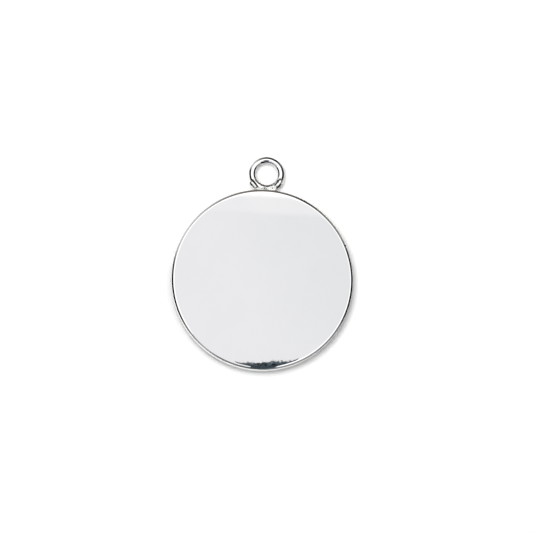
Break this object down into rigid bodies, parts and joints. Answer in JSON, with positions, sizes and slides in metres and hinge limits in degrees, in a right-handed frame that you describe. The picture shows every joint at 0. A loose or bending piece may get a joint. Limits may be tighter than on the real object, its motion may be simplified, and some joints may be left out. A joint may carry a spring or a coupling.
{
  "type": "disc pendant",
  "caption": "Plain flat round pendant disc in polished silver plate, with rounded rims and a small round hanging loop soldered to its edge.",
  "frame": {"origin": "centre of the disc's flat back face, which lies on z = 0", "axes": "+Z out of the front face, +Y from the disc's centre towards the hanging loop, +X to the right when the front is seen with the loop at the top"},
  "size_m": [0.02, 0.0238, 0.002],
  "materials": {
    "silver_plate": "polished silver plate over brass"
  },
  "bodies": {
    "root": {"disc_with_loop": "silver_plate"}
  },
  "joints": []
}
